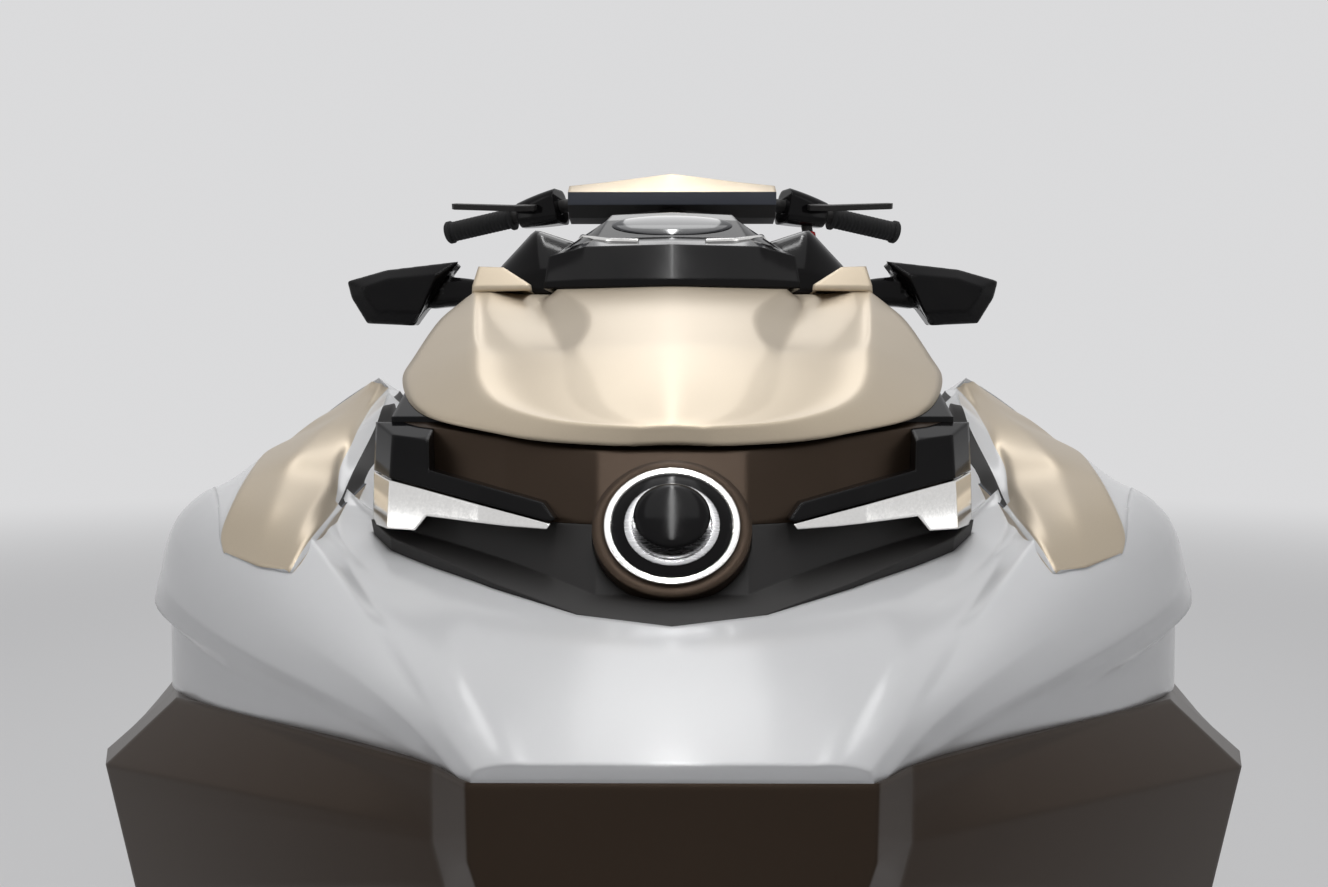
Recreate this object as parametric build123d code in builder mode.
"""A three-seat personal watercraft with a jet drive, standing at its waterline, bow to the -Y end.

While it is modelled, Y is the distance aft of the bow and Z the height above the keel, in millimetres.
The finished pieces are then moved so that the origin lies amidships on the waterline.
"""

import os
from math import atan2, cos, degrees, hypot, radians, sin

from build123d import *

# Overall
length = 3450.0
draught = 230.0
platform_overhang = 200.0  # how far the rear platform reaches past the transom
transom = length - platform_overhang
clearance = 0.3  # between pieces that seat on each other
running_clearance = 0.05  # between a pin or shaft and its bore

# The bond line, where deck and hull meet, seen from the side: (distance aft, height)
bond_height = 385.0
bond_line = [(0, 505), (350, 475), (1300, bond_height), (length, bond_height)]
above_everything = 1400.0
beyond_the_side = 800.0

# Bumper and rub rails
bumper_end = 480.0
bumper_bottom = 300.0
rail_thickness = 15.0
rail_start = 620.0
rail_below = 32.0
rail_above = 16.0

# Tunnel, recess and water passage under the stern
tunnel_length = 455.0
tunnel_start = transom - tunnel_length
tunnel_half_width = 150.0
tunnel_height = 300.0
recess_length = 250.0
recess_start = transom - recess_length
platform_underside = 430.0
duct_half_width = 78.0
duct_mouth = (tunnel_start - 465, tunnel_start - 55)
duct_run = 310.0
grate_depth = 14.0
grate_bars = 4
grate_bar_width = 8.0
grate_frame = 10.0

# Jet pump, measured aft from the tunnel's front wall
pump_height = 125.0
pump_bore = 78.0
pump_wall = 12.0
flange_radius = 106.0
flange_thickness = 12.0
tube_length = 215.0
cone_length = 100.0
venturi_length = 55.0
venturi_bore = 40.0
venturi_wall = 5.0
venturi_end = tunnel_start + tube_length + cone_length + venturi_length
hub_radius = 28.0
hub_start = tunnel_start + 160
hub_end = hub_start + 85
shaft_radius = 14.0
shaft_start = tunnel_start - 260
impeller_start = tunnel_start + 40
impeller_length = 110.0
impeller_tip = pump_bore - 1.2
stub_radius = 12.0
stub_seat = 33.0  # how far the impeller's stub reaches into the hub
blade_count = 4
vane_count = 7
vane_thickness = 5.0

# Steering nozzle and reverse gate
nozzle_pivot = venturi_end + 5
nozzle_length = 120.0
nozzle_bore = 44.0
nozzle_wall = 7.0
bell_bore = 62.0
bell_reach = 15.0
pin_radius = 7.0
ear_thickness = 12.0
ear_half_width = 14.0
gate_pivot = venturi_end - 80
gate_pin_radius = 9.0
gate_boss_radius = 16.0
gate_arm_start = 102.0
gate_half_width = 110.0
gate_inner_radius = 230.0
gate_thickness = 8.0
gate_half_angle = 28.0
gate_stowed_angle = 62.0

# Ride plate, sponsons, strakes and eyes
ride_plate_thickness = 14.0
rib_height = 10.0
sponson_thickness = 34.0
strake_depth = 14.0
eye_thickness = 12.0
eye_bore = 9.0
eye_reach = 28.0
bow_eye_place = (185.0, 243.2)  # distance aft, height of its foot on the stem
stern_eye_place = (300.0, 304.0)  # x, height

# Footwells, console, pedestal and seats
footwell_inner = 238.0
footwell_outer = 452.0
footwell_floor = 400.0
mat_thickness = 5.0
pedestal_front = 1045.0
console_end = 1555.0
pedestal_rear = tunnel_start - 5
pedestal_foot = 500.0
pedestal_wall = 24.0
seat_base_height = 700.0
seat_split = 2156.0
engine_front = 1640.0
engine_length = 560.0
engine_half_width = 165.0
engine_bottom = 115.0
engine_top = 520.0
engine_room = 10.0
glove_front = 1345.0
glove_length = 185.0
glove_half_width = 100.0
glove_depth = 100.0
lid_ledge = 10.0
lid_thickness = 16.0
lid_height = 840.0

# Hood, storage bin and rim
hood_thickness = 18.0
bin_half_width = 215.0
bin_front = 420.0
bin_rear = 1010.0
bin_floor = 470.0
rim_wall = 26.0
lip_gap = 5.0

# Fascia and badge
fascia_bottom = 560.0
fascia_top = 740.0
chin_top = 638.0  # where the brown fascia starts above the black chin
badge_height = 631.0
badge_radius = 57.0
badge_ring_width = 5.5
badge_depth = 5.0
boss_radius = 67.0
boss_reach = 13.0
vane_reach = 20.0

# Steering
column_foot = (1175.0, 800.0)  # distance aft, height
bar_centre = (1290.0, 1068.0)
column_radius = 22.0
bar_radius = 11.0
grip_radius = 17.0
grip_length = 122.0
pad_half_width = 170.0
pad_thickness = 92.0
lever_thickness = 9.0
steering_lean = degrees(atan2(bar_centre[0] - column_foot[0], bar_centre[1] - column_foot[1]))

# Boarding ladder and grab handle
ladder_pivot = (length - 58, 300.0)  # distance aft, height
ladder_half_width = 140.0
ladder_rise = 180.0
ladder_bar = 11.0
ladder_pin = 9.0
bracket_thickness = 13.0
notch_half_width = 163.0
handle_half_width = 130.0
handle_bar = 13.0
handle_reach = 70.0
handle_height = 770.0
handle_rise = 130.0  # from its feet to its bar

upward = (Align.CENTER, Align.CENTER, Align.MIN)
downward = (Align.CENTER, Align.CENTER, Align.MAX)


def across(distance_aft):
    """The plane across the craft at that distance aft of the bow: X to port, local Y up."""
    return Plane.XZ.offset(-distance_aft)


def both_sides(half):
    """A closed outline from its port half, listed from one centre point to the other."""
    return half + [(-x, z) for x, z in reversed(half) if x > 0]


def export(piece, name):
    """Writes one finished piece with the origin amidships on the waterline."""
    placed = piece.moved(Location((0, -length / 2, -draught)))
    placed.label = name
    export_step(placed, f"parts/{name}.step")


def export_pair(port, name):
    """Writes a piece of the port side and its mirror image on the starboard side."""
    export(port, f"{name}_port")
    export(mirror(port, about=Plane.YZ), f"{name}_starboard")


def block(x_range, y_range, z_range):
    """A plain block between two corners, each range as (low, high)."""
    sizes = [high - low for low, high in (x_range, y_range, z_range)]
    centre = [(low + high) / 2 for low, high in (x_range, y_range, z_range)]
    with BuildPart() as solid:
        with Locations(Location(centre)):
            Box(*sizes)
    return solid.part


def slab(plane, points, thickness):
    """A closed outline on a plane made solid along the plane's normal."""
    with BuildPart() as solid:
        with BuildSketch(plane):
            with BuildLine():
                Polyline(*points, close=True)
            make_face()
        extrude(amount=thickness)
    return solid.part


def side_slab(points, inner, outer):
    """A side view outline, as (distance aft, height), made solid from inner to outer in X."""
    return slab(Plane.YZ.offset(inner), points, outer - inner)


def plan_slab(points, bottom, top):
    """A plan outline, as (x, distance aft), made solid from bottom to top."""
    return slab(Plane.XY.offset(bottom), points, top - bottom)


def section_loft(rows, ruled):
    """Lofts symmetrical half outlines, as (distance aft, half), through planes across the craft."""
    with BuildPart() as body:
        for distance_aft, half in rows:
            with BuildSketch(across(distance_aft)):
                with BuildLine():
                    Polyline(*both_sides(half), close=True)
                make_face()
        loft(ruled=ruled)
    return body.part


def one_side_loft(rows, ruled=True):
    """Lofts outlines of one side, as (distance aft, points), through planes across the craft."""
    with BuildPart() as body:
        for distance_aft, points in rows:
            with BuildSketch(across(distance_aft)):
                with BuildLine():
                    Polyline(*points, close=True)
                make_face()
        loft(ruled=ruled)
    return body.part


def bond_at(distance_aft):
    """The height of the bond line at a distance aft of the bow."""
    for (start, low), (end, high) in zip(bond_line, bond_line[1:]):
        if start <= distance_aft <= end:
            return low + (high - low) * (distance_aft - start) / (end - start)


def above_bond():
    """The space above the bond line."""
    points = [(-200, bond_line[0][1])] + bond_line + [(length + 200, bond_height)]
    points += [(length + 200, above_everything), (-200, above_everything)]
    return side_slab(points, -beyond_the_side, beyond_the_side)


# Lower hull: distance aft, keel height, keel half width, chine, side knuckle, rail, top edge
bow_rows = [
    (0, 385, 12, (62, 392), (118, 425), (128, 455), (129, 505)),
    (50, 330, 12, (100, 350), (147, 400), (160, 450), (160, 506)),
    (330, 150, 14, (330, 272), (484, 300), (510, 416), (444, 478)),
    (400, 125, 14, (375, 260), (512, 298), (541, 410), (472, 470)),
    (bumper_end, 105, 16, (412, 248), (526, 295), (556, 402), (506, 462)),
]
middle_rows = [
    bow_rows[-1],
    (800, 50, 22, (478, 222), (560, 288), (582, 372), (566, 440)),
    (1200, 15, 32, (514, 203), (577, 284), (595, 352), (593, 420)),
    (1800, 0, 60, (530, 192), (588, 280), (603, 345), (603, 400)),
    (2400, 0, 130, (530, 190), (588, 280), (600, 345), (600, 400)),
]
stern_shift = 22.0  # how much narrower each side is at the transom
straight_start, _, keel_flat, chine, knuckle, rail_point, top_edge = middle_rows[-1]
stern_rows = [
    middle_rows[-1],
    (
        transom,
        0,
        keel_flat,
        (chine[0] - stern_shift, chine[1]),
        (knuckle[0] - stern_shift, knuckle[1]),
        (rail_point[0] - stern_shift, rail_point[1]),
        (top_edge[0] - stern_shift, top_edge[1]),
    ),
]
hull_zones = [(bow_rows, True), (middle_rows, False), (stern_rows, True)]
bumper_core = [(90, 30), (115, 70), (395, 350), (440, 420), (462, 600)]  # x, distance aft


def hull_sections(rows, grow=0.0):
    """Half outlines of the lower hull from the keel up, closed above the bond line."""
    top = bond_line[0][1] + 25
    found = []
    for distance_aft, keel, flat, low, side, rail, edge in rows:
        half = [(flat, keel), low, side, rail, edge, (edge[0], top)]
        found.append((distance_aft, [(x + grow, z) for x, z in half]))
    return found


def lower_body():
    """The outer form of hull and bumper up to the bond line."""
    with BuildPart() as body:
        for rows, ruled in hull_zones:
            add(section_loft(hull_sections(rows), ruled))
        add(above_bond(), mode=Mode.SUBTRACT)
    return body.part


def bumper_space():
    """Where the bumper wraps the bow, outside the wedge that stays with the hull."""
    side = beyond_the_side
    with BuildPart() as space:
        add(block((-side, side), (-50, bumper_end), (bumper_bottom, 600)))
        core = [(-x, y) for x, y in reversed(bumper_core)] + bumper_core
        add(plan_slab(core, bumper_bottom - 50, 650), mode=Mode.SUBTRACT)
    return space.part


def make_bumper():
    with BuildPart() as bumper:
        add(section_loft(hull_sections(bow_rows), True))
        add(above_bond(), mode=Mode.SUBTRACT)
        add(bumper_space(), mode=Mode.INTERSECT)
    return bumper.part


def duct_space():
    """The water passage from its mouth in the keel flat up to the pump."""
    front, rear = duct_mouth
    roof = pump_height + pump_bore
    floor = pump_height - pump_bore
    end = tunnel_start + 1
    points = [(front, -20), (front, 0), (front + duct_run, roof), (end, roof), (end, floor)]
    points += [(rear + 22, floor), (rear, 0), (rear, -20)]
    return side_slab(points, -duct_half_width, duct_half_width)


def strake(rows, ruled):
    """A spray strake halfway up the bottom on the port side."""
    sections = []
    for distance_aft, keel, flat, low, *_ in rows:
        run, rise = low[0] - flat, low[1] - keel
        inner = (flat + 0.46 * run, keel + 0.46 * rise)
        outer = (flat + 0.54 * run, keel + 0.54 * rise)
        sections.append(
            (
                distance_aft,
                [
                    (inner[0], inner[1] + 12),
                    inner,
                    (outer[0] - 4, inner[1] - strake_depth),
                    (outer[0], outer[1] - strake_depth),
                    (outer[0], outer[1] + 12),
                ],
            )
        )
    return one_side_loft(sections, ruled)


def engine_space(bottom, top):
    half = engine_half_width + engine_room
    rear = engine_front + engine_length + engine_room
    return block((-half, half), (engine_front - engine_room, rear), (bottom, top))


def make_hull():
    half = tunnel_half_width
    below, beyond = -20, transom + 50
    boss = Location((0, shaft_start - 15, pump_height), (-90, 0, 0))
    with BuildPart() as hull:
        add(lower_body())
        for rows, ruled in ((middle_rows[1:], False), (stern_rows, True)):
            port_strake = strake(rows, ruled)
            add(port_strake)
            add(mirror(port_strake, about=Plane.YZ))
        add(bumper_space(), mode=Mode.SUBTRACT)
        add(duct_space(), mode=Mode.SUBTRACT)
        add(block((-half, half), (tunnel_start, beyond), (below, tunnel_height)), mode=Mode.SUBTRACT)
        add(block((-half, half), (recess_start, beyond), (below, 600)), mode=Mode.SUBTRACT)
        add(engine_space(engine_bottom, 600), mode=Mode.SUBTRACT)
        with Locations(boss):
            Cylinder(shaft_radius + 12, 60, align=upward)
        with Locations(Location((0, shaft_start - 1, pump_height), (-90, 0, 0))):
            Cylinder(shaft_radius + running_clearance, 60, align=upward, mode=Mode.SUBTRACT)
    return hull.part


def make_grate():
    """Bars along the mouth of the water passage, level with the keel."""
    front = duct_mouth[0] + grate_depth * duct_run / (pump_height + pump_bore) + 20
    rear = duct_mouth[1] - 12
    half = duct_half_width - clearance
    inner = half - grate_frame
    pitch = 2 * inner / (grate_bars + 1)
    with BuildPart() as grate:
        add(block((-half, half), (front, rear), (0, grate_depth)))
        opening = (front + grate_frame, rear - grate_frame)
        add(block((-inner, inner), opening, (-1, grate_depth + 1)), mode=Mode.SUBTRACT)
        with Locations((0, (front + rear) / 2)):
            with GridLocations(pitch, 1, grate_bars, 1):
                Box(grate_bar_width, rear - front - 2, grate_depth, align=upward)
    return grate.part


def make_rail():
    """The rubber strip along the bond line on the port side."""
    stations = [rail_start, bond_line[2][0], transom]
    band = [(y, bond_at(y) - rail_below) for y in stations]
    band += [(y, bond_at(y) + rail_above) for y in reversed(stations)]
    band[-1] = (rail_start + 60, band[-1][1])
    with BuildPart() as rail:
        for rows, ruled in hull_zones[1:]:
            add(section_loft(hull_sections(rows, rail_thickness), ruled))
        add(side_slab(band, 300, beyond_the_side), mode=Mode.INTERSECT)
        for rows, ruled in hull_zones[1:]:
            add(section_loft(hull_sections(rows, clearance), ruled), mode=Mode.SUBTRACT)
    return rail.part


# Deck: distance aft, half width at the bond, wall, shoulder, crest, foot of the crest, centre height
deck_bow_rows = [
    (0, 127, (124, 512), (114, 515), (90, 516), (50, 516), 516),
    (60, 165, (168, 517), (158, 531), (128, 534), (70, 535), 535),
    (180, 284, (291, 528), (272, 553), (226, 562), (150, 568), 570),
    (350, 448, (463, 545), (440, 618), (352, 646), (292, 606), 604),
    (bumper_end, 504, (512, 545), (478, 632), (372, 692), (302, 628), 625),
]
deck_middle_rows = [
    deck_bow_rows[-1],
    (800, 563, (572, 520), (520, 640), (374, 772), (302, 700), 690),
    (1200, 591, (596, 500), (556, 590), (452, 640), (302, 650), 650),
    (1800, 601, (603, 480), (572, 540), (478, 562), (300, 560), 560),
    (straight_start, 598, (600, 465), (566, 526), (478, 546), (300, 545), 545),
]
platform_drop = 30.0  # how much lower the deck is at its rear end
bow_skirt, side_skirt = 440.0, 350.0  # how low the form starts before the bond line trims it
deck_rear_rows = [
    deck_middle_rows[-1],
    (
        length,
        571,
        (573, 465 - platform_drop),
        (539, 526 - platform_drop),
        (451, 546 - platform_drop),
        (273, 545 - platform_drop),
        545 - platform_drop,
    ),
]
deck_zones = [(deck_bow_rows, False), (deck_middle_rows, False), (deck_rear_rows, True)]


def platform_at(distance_aft):
    """The height of the flat middle of the rear platform."""
    share = (distance_aft - straight_start) / (length - straight_start)
    return deck_middle_rows[-1][6] - platform_drop * share


def deck_form():
    """The deck's outer form from just under the bond line, with its shoulders rounded."""
    with BuildPart() as form:
        for rows, ruled in deck_zones:
            for aft, bond_x, wall, shoulder, crest, foot, centre in rows:
                low = bow_skirt if aft <= bumper_end else side_skirt
                with BuildSketch(across(aft)):
                    with BuildLine():
                        for side in (1, -1):
                            around = [(side * x, z) for x, z in (wall, shoulder, crest)]
                            below = (side * bond_x, low)
                            knee = (side * bond_x, wall[1] - 12)
                            crest_foot = (side * foot[0], foot[1])
                            Line((0, low), below)
                            Line(below, knee)
                            Line(knee, around[0])
                            Spline(*around)
                            Line(around[-1], crest_foot)
                            Line(crest_foot, (0, centre))
                    make_face()
            loft(ruled=ruled)
    return form.part


def footwell_space():
    rear = pedestal_rear - 30
    points = [(1110, 800), (1250, footwell_floor), (rear - 100, footwell_floor), (rear, 800)]
    with BuildPart() as space:
        add(side_slab(points, footwell_inner, footwell_outer))
        fillet(space.edges().filter_by(Axis.Y), radius=30)
    return space.part


chin_outline = [(0, 180), (75, 203), (150, 258), (256, 350), (284, 392)]  # x, distance aft
chin_slope = 16.7
chin_thickness = 18.0
chin_plane = Plane(
    origin=(0, 180, 568),
    x_dir=(1, 0, 0),
    z_dir=(0, -sin(radians(chin_slope)), cos(radians(chin_slope))),
)
fascia_foot = [(0, 217), (62, 217), (145, 284), (240, 352), (264, 392)]
fascia_head = [(0, 357), (67, 357), (151, 364), (235, 383), (264, 400)]
pod_side = [(268, 500), (257, 830), (238, bin_rear + rim_wall)]


def chin_slab(low, high, grow=0.0):
    """The chin's outline made solid between two distances from its top face."""
    slope = cos(radians(chin_slope))
    half = [(x + grow if x else 0, (y - 180 - grow) / slope) for x, y in chin_outline]
    half[-1] = (half[-1][0], half[-1][1] + 2 * grow)
    return slab(chin_plane.offset(low), both_sides(half), high - low)


def ridge_space():
    """Where the coloured panel tops the ridge of the deck on the port side."""
    plan = [(322, 262), (410, 350), (468, bumper_end), (500, 620), (512, 800)]
    plan += [(322, 800), (330, bumper_end)]
    with BuildPart() as space:
        add(plan_slab(plan, 560, 900))
        foot = [(200, 500), (200, 584), (860, 630), (860, 500)]
        add(side_slab(foot, 0, beyond_the_side), mode=Mode.SUBTRACT)
    return space.part


def pod_form(grow=0.0):
    """The front of the pod under the hood's lip, leaning back."""
    with BuildPart() as form:
        for plan, height in ((fascia_foot, fascia_bottom), (fascia_head, fascia_top)):
            front = [(x + (grow if x > 100 else 0), y - grow) for x, y in plan]
            front[-1] = (front[-1][0], plan[-1][1])
            with BuildSketch(Plane.XY.offset(height)):
                with BuildLine():
                    Polyline(*both_sides(front), close=True)
                make_face()
        loft(ruled=True)
    return form.part


def pod_space(bottom=fascia_bottom):
    """The pocket of the deck in which the fascia and the rim of the bin stand."""
    plan = [(x + (clearance if x else 0), y - clearance) for x, y in fascia_foot + pod_side]
    plan[-1] = (plan[-1][0], plan[-1][1] + 2 * clearance)
    return plan_slab(both_sides(plan), bottom, 900)


lean = atan2(fascia_top - fascia_bottom, fascia_head[0][1] - fascia_foot[0][1])
badge_plane = Plane(
    origin=(0, fascia_foot[0][1] + (badge_height - fascia_bottom) / sin(lean) * cos(lean), badge_height),
    x_dir=(1, 0, 0),
    z_dir=(0, -sin(lean), cos(lean)),
)


def badge_boss(grow=0.0):
    with BuildPart() as boss:
        with Locations(badge_plane.offset(boss_reach)):
            Cylinder(boss_radius + grow, 45, align=downward)
    return boss.part


def make_deck():
    inner = footwell_inner
    half = bin_half_width
    side = beyond_the_side
    with BuildPart() as deck:
        add(deck_form())
        add(above_bond(), mode=Mode.INTERSECT)
        for one_side in (footwell_space(), ridge_space()):
            add(one_side, mode=Mode.SUBTRACT)
            add(mirror(one_side, about=Plane.YZ), mode=Mode.SUBTRACT)
        seat_hole = (pedestal_front, pedestal_rear)
        add(block((-inner, inner), seat_hole, (pedestal_foot, 900)), mode=Mode.SUBTRACT)
        add(block((-half, half), (bin_front, bin_rear), (bin_floor, 900)), mode=Mode.SUBTRACT)
        add(pod_space(), mode=Mode.SUBTRACT)
        add(chin_slab(-chin_thickness, 200, clearance), mode=Mode.SUBTRACT)
        add(badge_boss(clearance), mode=Mode.SUBTRACT)
        aft = (transom, length + 50)
        add(block((-side, side), aft, (300, platform_underside)), mode=Mode.SUBTRACT)
        add(engine_space(300, 900), mode=Mode.SUBTRACT)
        notch = (ladder_pivot[0] - 22, length + 50)
        add(block((-notch_half_width, notch_half_width), notch, (400, 900)), mode=Mode.SUBTRACT)
    return deck.part


def make_chin():
    side = beyond_the_side
    with BuildPart() as chin:
        add(pod_form())
        add(block((-side, side), (0, 600), (chin_top, 900)), mode=Mode.SUBTRACT)
        add(chin_slab(-chin_thickness, 0))
        add(block((-side, side), (fascia_foot[-1][1] - clearance, 600), (0, 900)), mode=Mode.SUBTRACT)
        add(badge_boss(clearance), mode=Mode.SUBTRACT)
    return chin.part


def make_ridge_panel():
    with BuildPart() as panel:
        add(deck_form())
        add(ridge_space(), mode=Mode.INTERSECT)
    return panel.part


# Hood: distance aft, crease, lower edge, centre height
hood_rows = [
    (322, (30, 713), (42, 703), 717),
    (335, (86, 722), (120, 707), 727),
    (352, (124, 730), (165, 715), 738),
    (388, (168, 744), (231, 727), 753),
    (450, (194, 770), (264, 748), 777),
    (520, (206, 797), (283, 770), 803),
    (700, (236, 852), (281, 838), 857),
    (860, (260, 889), (268, 881), 895),
    (1045, (246, 893), (252, 885), 897),
]


def hood_underside(crease, edge, centre):
    """The underside of the hood's shell at one row, from the centre outwards."""
    low = max(centre - hood_thickness, edge[1] + 1.0)
    under = max(crease[1] - hood_thickness, edge[1] + 0.5)
    return [(0, low), (crease[0] - 8, under), (edge[0] - 12, edge[1])]


def hood_outlines(rows):
    """Half outlines of the hood's shell, from the centre of its top to the centre underneath."""
    found = []
    for aft, crease, edge, centre in rows:
        found.append((aft, [(0, centre), crease, edge] + hood_underside(crease, edge, centre)[::-1]))
    return found


def hood_limits(drop, upwards):
    """The space above the hood's underside lowered by drop, or under its top face raised by drop."""
    first, last = hood_rows[0], hood_rows[-1]
    rows = [(200,) + first[1:]] + hood_rows + [(1100,) + last[1:]]
    found = []
    for aft, crease, edge, centre in rows:
        wide = edge[0] + 90
        if upwards:
            points = [(x, z - drop) for x, z in hood_underside(crease, edge, centre)]
            points += [(wide, edge[1] - drop), (wide, 1200), (0, 1200)]
        else:
            points = [(0, centre + drop), (crease[0], crease[1] + drop), (edge[0], edge[1] + drop)]
            points += [(wide, edge[1] + drop), (wide, 500), (0, 500)]
        found.append((aft, points))
    return section_loft(found, True)


# Air scoop in the hood: distance aft, then its outline seen from the front
scoop_rows = [
    (535, [(98, 830), (99, 803), (112, 802), (122, 830)]),
    (700, [(94, 880), (100, 851), (128, 843), (160, 880)]),
    (861, [(88, 920), (100, 889), (150, 882), (184, 920)]),
]


def make_hood():
    scoop = one_side_loft(scoop_rows)
    with BuildPart() as hood:
        add(section_loft(hood_outlines(hood_rows), True))
        add(scoop, mode=Mode.SUBTRACT)
        add(mirror(scoop, about=Plane.YZ), mode=Mode.SUBTRACT)
    return hood.part


def make_fascia():
    side = beyond_the_side
    with BuildPart() as fascia:
        add(pod_form())
        add(block((-side, side), (0, 600), (0, chin_top + clearance)), mode=Mode.SUBTRACT)
        add(badge_boss())
        add(block((-side, side), (fascia_foot[-1][1], 600), (500, 800)), mode=Mode.SUBTRACT)
        add(hood_limits(lip_gap, True), mode=Mode.SUBTRACT)
        with Locations(badge_plane.offset(boss_reach)):
            Cylinder(badge_radius, badge_depth, align=downward, mode=Mode.SUBTRACT)
    return fascia.part


def make_badge():
    """A blank round badge with a raised border, seated in the fascia's boss."""
    seat = badge_plane.offset(boss_reach - badge_depth)
    with BuildPart() as badge:
        with Locations(seat):
            Cylinder(badge_radius - clearance, badge_depth + 3, align=upward)
        with Locations(seat.offset(badge_depth + 1)):
            Cylinder(badge_radius - badge_ring_width, 10, align=upward, mode=Mode.SUBTRACT)
    return badge.part


# Seen from the front, as (x, height): the black vane with its pillar, and the bright trim below it
vane_outline = [(290, 800), (290, 680), (266, 675), (104, 641), (99, 643), (110, 656)]
vane_outline += [(218, 681), (222, 730), (222, 800)]
trim_outline = [(290, 679), (290, 628), (229, 628), (218, 641)]
trim_outline += [(141, 636), (106, 635), (103, 639), (266, 673)]


def make_vane(outline):
    """A blade at the corner of the pod, proud of the fascia, on the port side."""
    with BuildPart() as vane:
        add(slab(across(210), outline, -400))
        add(pod_form(vane_reach), mode=Mode.INTERSECT)
        add(pod_form(clearance), mode=Mode.SUBTRACT)
        add(chin_slab(-2 * chin_thickness, clearance, clearance), mode=Mode.SUBTRACT)
        side = beyond_the_side
        add(block((-side, side), (fascia_foot[-1][1], 600), (500, 900)), mode=Mode.SUBTRACT)
        add(hood_limits(lip_gap, True), mode=Mode.SUBTRACT)
    return vane.part


def make_rim():
    """The walls of the storage bin, from the deck up to the hood."""
    half = bin_half_width
    plan = [(0, fascia_foot[-1][1])] + fascia_foot[-1:] + pod_side + [(0, pod_side[-1][1])]
    with BuildPart() as rim:
        add(plan_slab(both_sides(plan), fascia_bottom, 900))
        add(block((-half, half), (bin_front, bin_rear), (500, 900)), mode=Mode.SUBTRACT)
        add(hood_limits(clearance, True), mode=Mode.SUBTRACT)
    return rim.part


# Winglet: distance aft, then its outline seen from the front, from the inner foot round
horn_rows = [
    (842, [(182, 880), (262, 874), (261, 893), (184, 894)]),
    (868, [(182, 880), (262, 874), (257, 921), (224, 920)]),
    (960, [(178, 880), (256, 874), (250, 912), (214, 911)]),
]


def make_horn():
    """A raised winglet at the hood's rear corner on the port side."""
    with BuildPart() as horn:
        add(one_side_loft(horn_rows))
        add(hood_limits(clearance, False), mode=Mode.SUBTRACT)
    return horn.part


# Cowl of the display: distance aft, foot, wall, ridge, centre height
visor_rows = [
    (866, (171, 880), (169, 900), (120, 903), 905),
    (890, (171, 880), (166, 937), (116, 950), 953),
    (950, (170, 880), (156, 952), (106, 969), 971),
    (1010, (168, 880), (140, 972), (94, 1002), 1006),
    (1042, (166, 880), (130, 980), (88, 1015), 1019),
]


def make_visor():
    with BuildPart() as visor:
        add(section_loft([(row[0], [*row[1:4], (0, row[4])]) for row in visor_rows], True))
        add(hood_limits(clearance, False), mode=Mode.SUBTRACT)
    return visor.part


def make_display():
    """The instrument on the rear face of the cowl, towards the rider."""
    with BuildPart() as display:
        with BuildSketch(across(visor_rows[-1][0])):
            with Locations((0, 950)):
                RectangleRounded(176, 92, 16)
        extrude(amount=-22)
        fillet(display.faces().sort_by(Axis.Y)[-1].edges(), radius=4)
    return display.part


# Mirror: distance aft, then its outline seen from the front from the inner top corner round
mirror_rows = [
    (952, [(330, 918), (398, 912), (432, 900), (426, 886), (412, 868), (350, 866)]),
    (972, [(302, 940), (404, 928), (460, 912), (454, 888), (432, 852), (366, 849)]),
    (1016, [(304, 938), (404, 926), (456, 910), (450, 888), (430, 855), (367, 852)]),
]
glass_depth = 5.0


def mirror_pocket(grow, depth):
    """The recess of the mirror's rear face that holds the glass."""
    back = mirror_rows[-1][0]
    centre = (392, 890)
    share = 0.86 + grow / 80
    outline = mirror_rows[-1][1]
    points = [tuple(c + (v - c) * share for c, v in zip(centre, corner)) for corner in outline]
    return slab(across(back - glass_depth), points, -depth)


# Arm of the mirror: x, distance aft and height of its middle, width, how tall
mirror_arm = [(259.6, 992, 893, 60, 34), (300, 996, 898, 46, 40), (345, 996, 896, 38, 44)]


def make_mirror():
    with BuildPart() as housing:
        add(one_side_loft(mirror_rows))
        for x, aft, height, width, tall in mirror_arm:
            with BuildSketch(Plane.YZ.offset(x)):
                with Locations((aft, height)):
                    RectangleRounded(width, tall, 12)
        loft()
        add(mirror_pocket(0, glass_depth + 1), mode=Mode.SUBTRACT)
    return housing.part


def make_mirror_glass():
    return mirror_pocket(-clearance, glass_depth - 1)


# Console: distance aft, foot, waist, shoulder, centre height
console_rows = [
    (pedestal_front, (232, 500), (208, 716), (150, 796), 812),
    (1180, (232, 500), (200, 735), (140, 838), 850),
    (1320, (232, 500), (188, 742), (126, 856), 866),
    (console_end, (232, 500), (160, seat_base_height), (118, 846), 854),
]


def console_form(grow=0.0):
    rows = []
    for aft, foot, waist, shoulder, centre in console_rows:
        half = [foot, (waist[0] + grow, waist[1]), (shoulder[0], shoulder[1] + grow), (0, centre + grow)]
        rows.append((aft, half))
    return section_loft(rows, True)


steering_plane = Plane(
    origin=(0, bar_centre[0], bar_centre[1]),
    x_dir=(1, 0, 0),
    z_dir=(0, sin(radians(steering_lean)), cos(radians(steering_lean))),
)


def column_bore():
    with BuildPart() as bore:
        with Locations(steering_plane):
            Cylinder(column_radius + 1, 700)
    return bore.part


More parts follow.
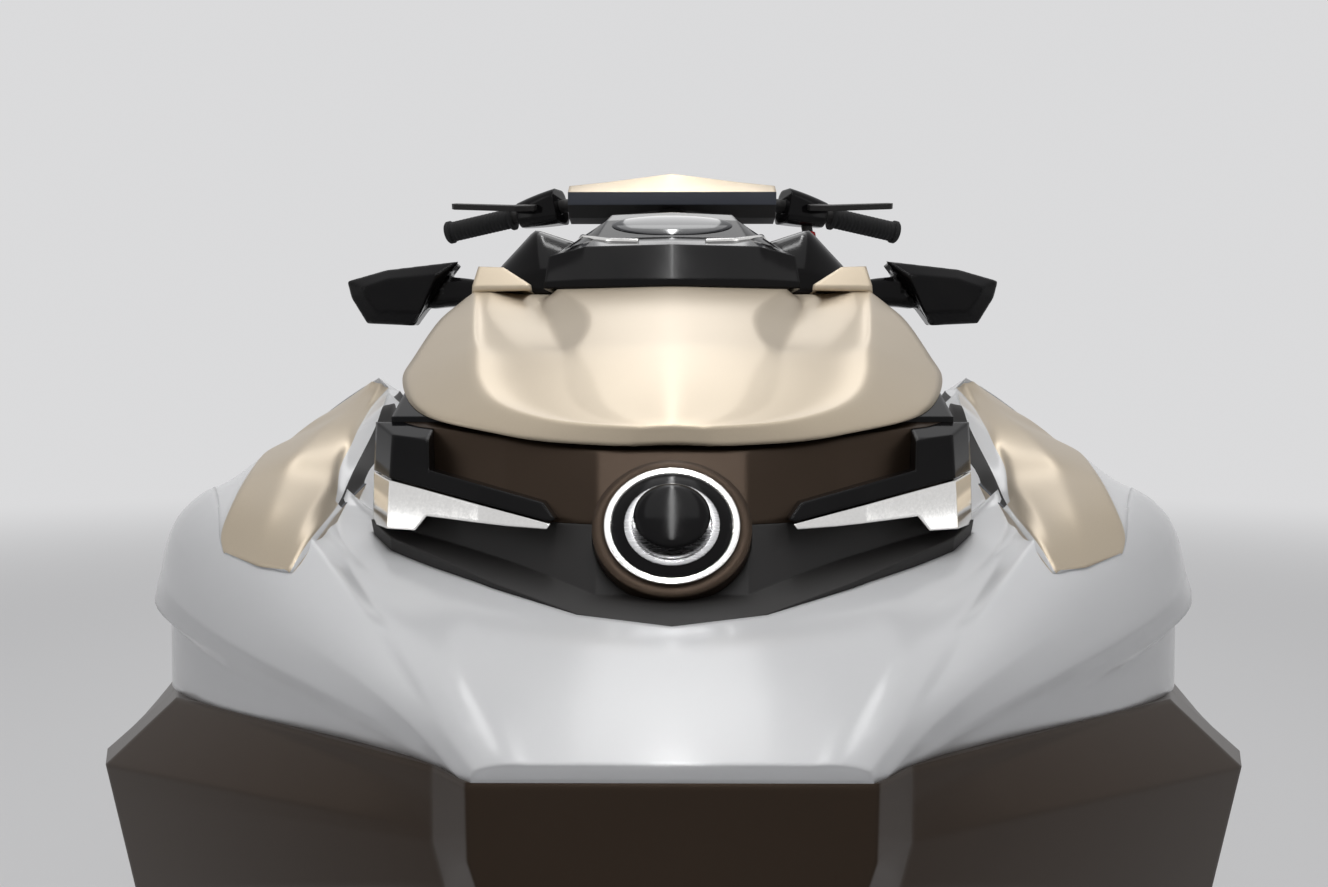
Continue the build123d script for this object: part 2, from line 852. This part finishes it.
def make_console():
    half = glove_half_width
    rear = glove_front + glove_length
    ledge = half + lid_ledge
    with BuildPart() as console:
        add(console_form())
        box = (lid_height - glove_depth, 950)
        add(block((-half, half), (glove_front, rear), box), mode=Mode.SUBTRACT)
        around = (glove_front - lid_ledge, rear + lid_ledge)
        add(block((-ledge, ledge), around, (lid_height, 950)), mode=Mode.SUBTRACT)
        add(column_bore(), mode=Mode.SUBTRACT)
    return console.part


def make_glove_lid():
    half = glove_half_width + lid_ledge - 1
    front = glove_front - lid_ledge + 1
    rear = glove_front + glove_length + lid_ledge - 1
    with BuildPart() as lid:
        low = lid_height + clearance
        add(block((-half, half), (front, rear), (low, low + lid_thickness)))
        fillet(lid.edges().filter_by(Axis.Z), radius=10)
        fillet(lid.edges().group_by(Axis.Z)[-1], radius=5)
    return lid.part


# Tower around the steering column: distance under the bar, width, depth
cowl_rows = [(260, 200, 190), (170, 160, 140), (70, 124, 104)]


def make_cowl():
    """The fixed tower around the steering column."""
    with BuildPart() as cowl:
        for drop, width, depth in cowl_rows:
            with BuildSketch(steering_plane.offset(-drop)):
                RectangleRounded(width, depth, 30)
        loft()
        add(column_bore(), mode=Mode.SUBTRACT)
        add(console_form(clearance), mode=Mode.SUBTRACT)
    return cowl.part


def make_pedestal():
    foot, top = (232, pedestal_foot), (160, seat_base_height)
    wall = pedestal_wall
    inside = [(foot[0] - wall, foot[1]), (top[0] - wall, top[1] - wall)]
    length_of = pedestal_rear - console_end
    with BuildPart() as pedestal:
        add(slab(across(console_end), both_sides([foot, top]), -length_of))
        hollow = slab(across(console_end + wall), both_sides(inside), -(length_of - 2 * wall))
        add(hollow, mode=Mode.SUBTRACT)
    return pedestal.part


# Seats: distance aft, then half width and height of the base, of the shoulder and of the top
front_seat_rows = [
    (console_end + 6, (100, seat_base_height), (106, 800), (70, 848)),
    (1700, (140, seat_base_height), (150, 800), (104, 850)),
    (1950, (158, seat_base_height), (172, 800), (130, 858)),
    (2080, (158, seat_base_height), (174, 810), (134, 876)),
    (seat_split, (158, seat_base_height), (172, 836), (130, 902)),
]
rear_seat_rows = [
    (seat_split + 3, (158, seat_base_height), (172, 840), (130, 906)),
    (2300, (158, seat_base_height), (174, 842), (134, 908)),
    (pedestal_rear - 120, (152, seat_base_height), (166, 846), (126, 916)),
    (pedestal_rear - 2, (140, seat_base_height), (148, 830), (108, 890)),
]


def make_seat(rows):
    return section_loft([(row[0], list(row[1:])) for row in rows], True)


def make_engine():
    half = engine_half_width
    with BuildPart() as engine:
        add(block((-half, half), (engine_front, engine_front + engine_length), (engine_bottom, engine_top)))
        chamfer(engine.edges().group_by(Axis.Z)[-1], length=25)
    return engine.part


pump_axis = Axis((0, 0, pump_height), (0, 1, 0))


def turned(profile):
    """A profile of (distance aft, radius) revolved about the pump's axis."""
    with BuildPart() as ring:
        with BuildSketch(Plane.YZ):
            with BuildLine():
                Polyline(*[(y, pump_height + r) for y, r in profile], close=True)
            make_face()
        revolve(axis=pump_axis)
    return ring.part


def make_pump():
    outer = pump_bore + pump_wall
    throat = venturi_bore + venturi_wall
    tube_end = tunnel_start + tube_length
    cone_end = tube_end + cone_length
    flange_end = tunnel_start + flange_thickness
    shell = [(tunnel_start, pump_bore), (tunnel_start, flange_radius), (flange_end, flange_radius)]
    shell += [(flange_end, outer), (tube_end, outer), (cone_end, throat), (venturi_end, throat)]
    shell += [(venturi_end, venturi_bore), (cone_end, venturi_bore), (tube_end, pump_bore)]
    hub = [(hub_start, 0), (hub_start, hub_radius), (hub_end, hub_radius), (cone_end, 8), (cone_end, 0)]
    bearing = stub_radius + running_clearance
    bore_start, bore_end = hub_start - 50, hub_start + stub_seat + 4
    bearing_bore = [(bore_start, 0), (bore_start, bearing), (bore_end, bearing), (bore_end, 0)]
    ear = bell_bore + nozzle_wall + 4
    boss_start, boss_end = venturi_bore * 1.1, gate_arm_start - 2
    with BuildPart() as pump:
        add(turned(shell))
        add(turned(hub))
        with Locations(Location((0, hub_start + 45, pump_height), (-90, 0, 0))):
            with PolarLocations(0, vane_count):
                Box(pump_bore + 4, vane_thickness, 76, align=(Align.MIN, Align.CENTER, Align.CENTER))
        for low in (pump_height + ear, pump_height - ear - ear_thickness):
            with BuildSketch(Plane.XY.offset(low)):
                with Locations((0, (tube_end - 10 + nozzle_pivot) / 2)):
                    Rectangle(2 * ear_half_width, nozzle_pivot - tube_end + 10)
                with Locations((0, nozzle_pivot)):
                    Circle(ear_half_width)
                    Circle(pin_radius + running_clearance, mode=Mode.SUBTRACT)
            extrude(amount=ear_thickness)
        for side in (1, -1):
            turn = (0, 90 * side, 0)
            with Locations(Location((boss_start * side, gate_pivot, pump_height), turn)):
                Cylinder(gate_boss_radius, boss_end - boss_start, align=upward)
            with Locations(Location(((boss_end - 1) * side, gate_pivot, pump_height), turn)):
                Cylinder(gate_pin_radius, gate_half_width - boss_end + 1, align=upward)
        add(turned(bearing_bore), mode=Mode.SUBTRACT)
    return pump.part


# Impeller blade: radius, chord, thickness, pitch in degrees
blade_rows = [(20, 92, 9, 30), (52, 106, 7, 47), (92, 118, 4, 60)]


def make_impeller():
    end = impeller_start + impeller_length
    middle = impeller_start + 55
    with BuildPart() as blades:
        for turn in range(blade_count):
            angle = radians(360 / blade_count * turn)
            outwards = (sin(angle), 0, cos(angle))
            spoke = Plane(origin=(0, middle, pump_height), x_dir=(0, 1, 0), z_dir=outwards)
            for radius, chord, thickness, pitch in blade_rows:
                with BuildSketch(spoke.offset(radius)):
                    Rectangle(chord, thickness, rotation=pitch)
            loft()
        front, rear = impeller_start + 3, end - 3
        reach = [(front, 0), (front, impeller_tip), (rear, impeller_tip), (rear, 0)]
        add(turned(reach), mode=Mode.INTERSECT)
        hub = [(impeller_start, 0), (impeller_start, hub_radius), (end, hub_radius), (end, stub_radius)]
        hub += [(hub_start + stub_seat, stub_radius), (hub_start + stub_seat, 0)]
        add(turned(hub))
    return blades.part


def make_shaft():
    start, end = shaft_start, impeller_start
    return turned([(start, 0), (start, shaft_radius), (end, shaft_radius), (end, 0)])


def make_nozzle():
    outer = nozzle_bore + nozzle_wall
    bell = bell_bore + nozzle_wall
    start, waist, end = nozzle_pivot - bell_reach, nozzle_pivot + 20, nozzle_pivot + nozzle_length
    profile = [(start, bell_bore), (start, bell), (waist, bell)]
    profile += [(end, outer), (end, nozzle_bore), (waist, bell_bore)]
    pin_length = ear_thickness + 8
    with BuildPart() as nozzle:
        add(turned(profile))
        for side in (1, -1):
            foot = pump_height + side * (bell_bore + nozzle_wall - 4)
            with Locations(Location((0, nozzle_pivot, foot), (0 if side > 0 else 180, 0, 0))):
                Cylinder(pin_radius, pin_length, align=upward)
    return nozzle.part


def make_gate():
    """The reverse gate, built dropped behind the nozzle and then swung up to its stowed place."""
    inner, outer = gate_inner_radius, gate_inner_radius + gate_thickness
    reach, spread = outer * cos(radians(gate_half_angle)), outer * sin(radians(gate_half_angle))
    arm = [(-10, 17), (reach, spread), (reach, -spread), (-10, -17)]
    with BuildPart() as gate:
        for start in (gate_arm_start, -gate_half_width):
            with BuildSketch(Plane.YZ.offset(start)):
                with Locations((gate_pivot, pump_height)):
                    Circle(20)
                with BuildLine():
                    Polyline(*[(gate_pivot + y, pump_height + z) for y, z in arm], close=True)
                make_face()
                with Locations((gate_pivot, pump_height)):
                    Circle(gate_pin_radius + running_clearance, mode=Mode.SUBTRACT)
            extrude(amount=gate_half_width - gate_arm_start)
        with BuildSketch(Plane.YZ.offset(-gate_half_width)):
            with Locations((gate_pivot, pump_height)):
                Circle(outer)
                Circle(inner, mode=Mode.SUBTRACT)
                Rectangle(2 * outer, 2 * spread, mode=Mode.INTERSECT)
            with Locations((gate_pivot - outer, pump_height)):
                Rectangle(2 * outer, 2 * outer, mode=Mode.SUBTRACT)
        extrude(amount=2 * gate_half_width)
    return gate.part.rotate(Axis((0, gate_pivot, pump_height), (1, 0, 0)), gate_stowed_angle)


def make_ride_plate():
    half = tunnel_half_width - clearance
    front, rear = tunnel_start + 17, transom - 50
    with BuildPart() as plate:
        add(block((-half, half), (front, rear), (0, ride_plate_thickness)))
        chamfer(plate.edges().filter_by(Axis.X).group_by(Axis.Y)[-1], length=5)
        with Locations((0, (front + rear) / 2, ride_plate_thickness - 1)):
            with GridLocations(60, 1, 4, 1):
                Box(8, rear - front - 50, rib_height + 1, align=upward)
    return plate.part


def make_sponson():
    """The fin on the side of the hull near the stern, on the port side, lying flat on it."""
    along = (knuckle[0] - chine[0], knuckle[1] - chine[1])
    rows = []
    for share, out in ((0.25, 0.25), (0.35, 0.9), (0.93, 1.0)):
        aft = straight_start + (transom - straight_start) * share
        shift = clearance - stern_shift * share
        low = (chine[0] + shift + 0.2 * along[0], chine[1] + 0.2 * along[1])
        high = (chine[0] + shift + 0.86 * along[0], chine[1] + 0.86 * along[1])
        reach = sponson_thickness * out
        outer_low = (low[0] + reach, low[1] - 0.55 * reach)
        outer_high = (high[0] + 0.8 * reach, high[1] - 14)
        rows.append((aft, [low, outer_low, outer_high, high]))
    return one_side_loft(rows)


def make_bow_eye():
    """The towing eye on the stem."""
    along = Vector(0, 280, -180).normalized()
    out = Vector(0, -180, -280).normalized()
    middle = Vector(0, *bow_eye_place)
    foot = Plane(origin=middle - Vector(eye_thickness / 2, 0, 0), x_dir=along, z_dir=(1, 0, 0))
    side = 1 if foot.y_dir.dot(out) > 0 else -1
    with BuildPart() as eye:
        with BuildSketch(foot):
            with BuildLine():
                Polyline((-34, 0), (-20, side * eye_reach), (20, side * eye_reach), (34, 0), close=True)
            make_face()
            with Locations((0, side * eye_reach * 0.5)):
                Circle(eye_bore, mode=Mode.SUBTRACT)
        extrude(amount=eye_thickness)
    return eye.part


def make_stern_eye():
    """The towing eye on the transom, on the port side."""
    x, height = stern_eye_place
    end = transom + eye_reach
    points = [(transom, height - 22), (end, height - 14), (end, height + 14), (transom, height + 22)]
    with BuildPart() as eye:
        with BuildSketch(Plane.YZ.offset(x - eye_thickness / 2)):
            with BuildLine():
                Polyline(*points, close=True)
            make_face()
            with Locations((transom + eye_reach * 0.5, height)):
                Circle(eye_bore, mode=Mode.SUBTRACT)
        extrude(amount=eye_thickness)
    return eye.part


def make_footwell_mat():
    rear = pedestal_rear - 160
    inner, outer = footwell_inner + 34, footwell_outer - 34
    top = footwell_floor + mat_thickness
    return block((inner, outer), (1290, rear), (footwell_floor, top))


def make_rear_mat():
    front, rear = pedestal_rear + 25, length - 30
    points = [(front, platform_at(front)), (rear, platform_at(rear))]
    points += [(y, z + mat_thickness) for y, z in reversed(points)]
    notch = notch_half_width + 12
    with BuildPart() as mat:
        add(side_slab(points, -268, 268))
        cut = (ladder_pivot[0] - 34, length)
        add(block((-notch, notch), cut, (400, 700)), mode=Mode.SUBTRACT)
    return mat.part


def make_ladder():
    aft, low = ladder_pivot
    half = ladder_half_width
    top = low + ladder_rise
    with BuildPart() as ladder:
        with BuildLine() as path:
            Polyline((-half, aft, low), (-half, aft, top), (half, aft, top), (half, aft, low))
            fillet(path.vertices().group_by(Axis.Z)[-1], radius=30)
        with BuildSketch(Plane(origin=path.line @ 0, z_dir=path.line % 0)):
            Circle(ladder_bar)
        sweep()
        with Locations(Location((0, aft, low), (0, 90, 0))):
            Cylinder(ladder_pin, 2 * (half + 20))
        with Locations(Location((0, aft, (low + top) / 2), (0, 90, 0))):
            Cylinder(ladder_bar, 2 * half)
    return ladder.part


def make_ladder_bracket():
    aft, height = ladder_pivot
    inner = ladder_half_width + 12
    with BuildPart() as bracket:
        arm = [(transom, height - 30), (aft, height - 16), (aft + 16, height)]
        arm += [(aft, height + 16), (transom, height + 30)]
        add(side_slab(arm, inner, inner + bracket_thickness))
        with Locations(Location((0, aft, height), (0, 90, 0))):
            Cylinder(ladder_pin + running_clearance, 400, mode=Mode.SUBTRACT)
    return bracket.part


def make_grab_handle():
    """The bar behind the rear seat, for boarding and for the third rider."""
    half = handle_half_width
    rear = pedestal_rear + handle_reach
    foot = handle_height - handle_rise
    run = [(-half, pedestal_rear, foot), (-half, rear, handle_height)]
    run += [(half, rear, handle_height), (half, pedestal_rear, foot)]
    with BuildPart() as handle:
        with BuildLine() as path:
            Polyline(*run)
            fillet(path.vertices().group_by(Axis.Z)[-1], radius=30)
        with BuildSketch(Plane(origin=path.line @ 0, z_dir=path.line % 0)):
            Circle(handle_bar)
        sweep()
        for x in (-half, half):
            add(block((x - 24, x + 24), (pedestal_rear, pedestal_rear + 8), (foot - 30, foot + 32)))
        add(block((-200, 200), (pedestal_rear - 100, pedestal_rear), (500, 900)), mode=Mode.SUBTRACT)
    return handle.part


# The handlebar's centre line on the port side, from its centre: x, distance aft, rise
bar_run = [(0, 0, 0), (178, 0, 0), (383, 62, -36)]


def bar_point(index):
    x, aft, rise = bar_run[index]
    return Vector(x, bar_centre[0] + aft, bar_centre[1] + rise)


def make_bar():
    port = [bar_point(i) for i in range(3)]
    starboard = [Vector(-p.X, p.Y, p.Z) for p in reversed(port[1:])]
    with BuildPart() as bar:
        with BuildLine() as path:
            Polyline(*starboard, *port[1:])
        with BuildSketch(Plane(origin=path.line @ 0, z_dir=path.line % 0)):
            Circle(bar_radius)
        sweep(transition=Transition.ROUND)
    return bar.part


def make_column():
    reach = hypot(bar_centre[0] - column_foot[0], bar_centre[1] - column_foot[1])
    with BuildPart() as column:
        with Locations(steering_plane.offset(-bar_radius)):
            Cylinder(column_radius, reach, align=downward)
    return column.part


# Pad: x, then how tall it is there above and below the bar
pad_rows = [(-pad_half_width, 30, 24), (-110, 36, 24), (0, 50, 8), (110, 36, 24), (pad_half_width, 30, 24)]


def make_pad():
    """The padded cover over the middle of the handlebar."""
    front, back = -pad_thickness / 2, pad_thickness / 2
    with BuildPart() as pad:
        for x, above, below in pad_rows:
            outline = [(front, -6), (front, 15), (-16, above), (14, above), (back, 14), (back, -8)]
            outline += [(18, -below - 4), (-26, -below)]
            with BuildSketch(Plane.YZ.offset(x)):
                with BuildLine():
                    Polyline(*[(bar_centre[0] + y, bar_centre[1] + z) for y, z in outline], close=True)
                make_face()
        loft(ruled=True)
        with Locations(Location((0, *bar_centre), (0, 90, 0))):
            Cylinder(bar_radius + clearance, 400, mode=Mode.SUBTRACT)
        with Locations(steering_plane.offset(-bar_radius + clearance)):
            Cylinder(column_radius + clearance, 80, align=downward, mode=Mode.SUBTRACT)
    return pad.part


bar_direction = (bar_point(2) - bar_point(1)).normalized()


def along_bar(distance):
    """A plane square to the bar's outer run, that far from its bend."""
    return Plane(origin=bar_point(1) + bar_direction * distance, x_dir=(0, 1, 0), z_dir=bar_direction)


def make_grip():
    run = (bar_point(2) - bar_point(1)).length
    start = run - grip_length
    with BuildPart() as grip:
        with Locations(along_bar(start)):
            Cylinder(grip_radius, grip_length + 6, align=upward)
            Cylinder(grip_radius + 4, 6, align=upward)
        with Locations(along_bar(run)):
            Cylinder(grip_radius + 3, 6, align=upward)
        with Locations(along_bar(start - 1)):
            Cylinder(bar_radius + clearance, grip_length + 1, align=upward, mode=Mode.SUBTRACT)
    return grip.part


# Switch housing: distance along the bar, width, how tall
housing_rows = [(8, 62, 58), (52, 54, 50), (80, 44, 42)]


def make_switch_housing():
    """The moulded housing between pad and grip, which carries the lever."""
    with BuildPart() as housing:
        for distance, width, tall in housing_rows:
            with BuildSketch(along_bar(distance)):
                RectangleRounded(width, tall, 16)
        loft()
        with Locations(along_bar(-40)):
            Cylinder(bar_radius + clearance, 200, align=upward, mode=Mode.SUBTRACT)
    return housing.part


# Seen from above: distance along the bar, reach towards the bow
lever_outline = [(40, -28.5), (62, -28.3), (78, -40), (176, -44)]
lever_outline += [(182, -50), (176, -56), (70, -54), (40, -42)]


def make_lever():
    """A finger lever ahead of the grip, hung from the switch housing."""
    plane = along_bar(0)
    with BuildPart() as lever:
        with BuildSketch(Plane(origin=plane.origin, x_dir=bar_direction, z_dir=(0, -0.3, 1))):
            with BuildLine():
                Polyline(*lever_outline, close=True)
            make_face()
        extrude(amount=lever_thickness / 2, both=True)
    return lever.part


def make_parts():
    return {
        "hull": make_hull,
        "bow_bumper": make_bumper,
        "deck": make_deck,
        "chin": make_chin,
        "fascia": make_fascia,
        "badge": make_badge,
        "hood": make_hood,
        "bin_rim": make_rim,
        "visor": make_visor,
        "display": make_display,
        "console": make_console,
        "glove_lid": make_glove_lid,
        "seat_pedestal": make_pedestal,
        "front_seat": lambda: make_seat(front_seat_rows),
        "rear_seat": lambda: make_seat(rear_seat_rows),
        "engine": make_engine,
        "intake_grate": make_grate,
        "pump_housing": make_pump,
        "impeller": make_impeller,
        "drive_shaft": make_shaft,
        "steering_nozzle": make_nozzle,
        "reverse_gate": make_gate,
        "ride_plate": make_ride_plate,
        "bow_eye": make_bow_eye,
        "boarding_ladder": make_ladder,
        "grab_handle": make_grab_handle,
        "rear_mat": make_rear_mat,
        "steering_column": make_column,
        "steering_cowl": make_cowl,
        "handlebar": make_bar,
        "handlebar_pad": make_pad,
    }


def make_pairs():
    return {
        "rub_rail": make_rail,
        "ridge_panel": make_ridge_panel,
        "hood_horn": make_horn,
        "mirror": make_mirror,
        "mirror_glass": make_mirror_glass,
        "sponson": make_sponson,
        "ladder_bracket": make_ladder_bracket,
        "vane": lambda: make_vane(vane_outline),
        "vane_trim": lambda: make_vane(trim_outline),
        "stern_eye": make_stern_eye,
        "footwell_mat": make_footwell_mat,
        "grip": make_grip,
        "switch_housing": make_switch_housing,
        "lever": make_lever,
    }


if __name__ == "__main__":
    os.makedirs("parts", exist_ok=True)
    for name, maker in make_parts().items():
        export(maker(), name)
    for name, maker in make_pairs().items():
        export_pair(maker(), name)
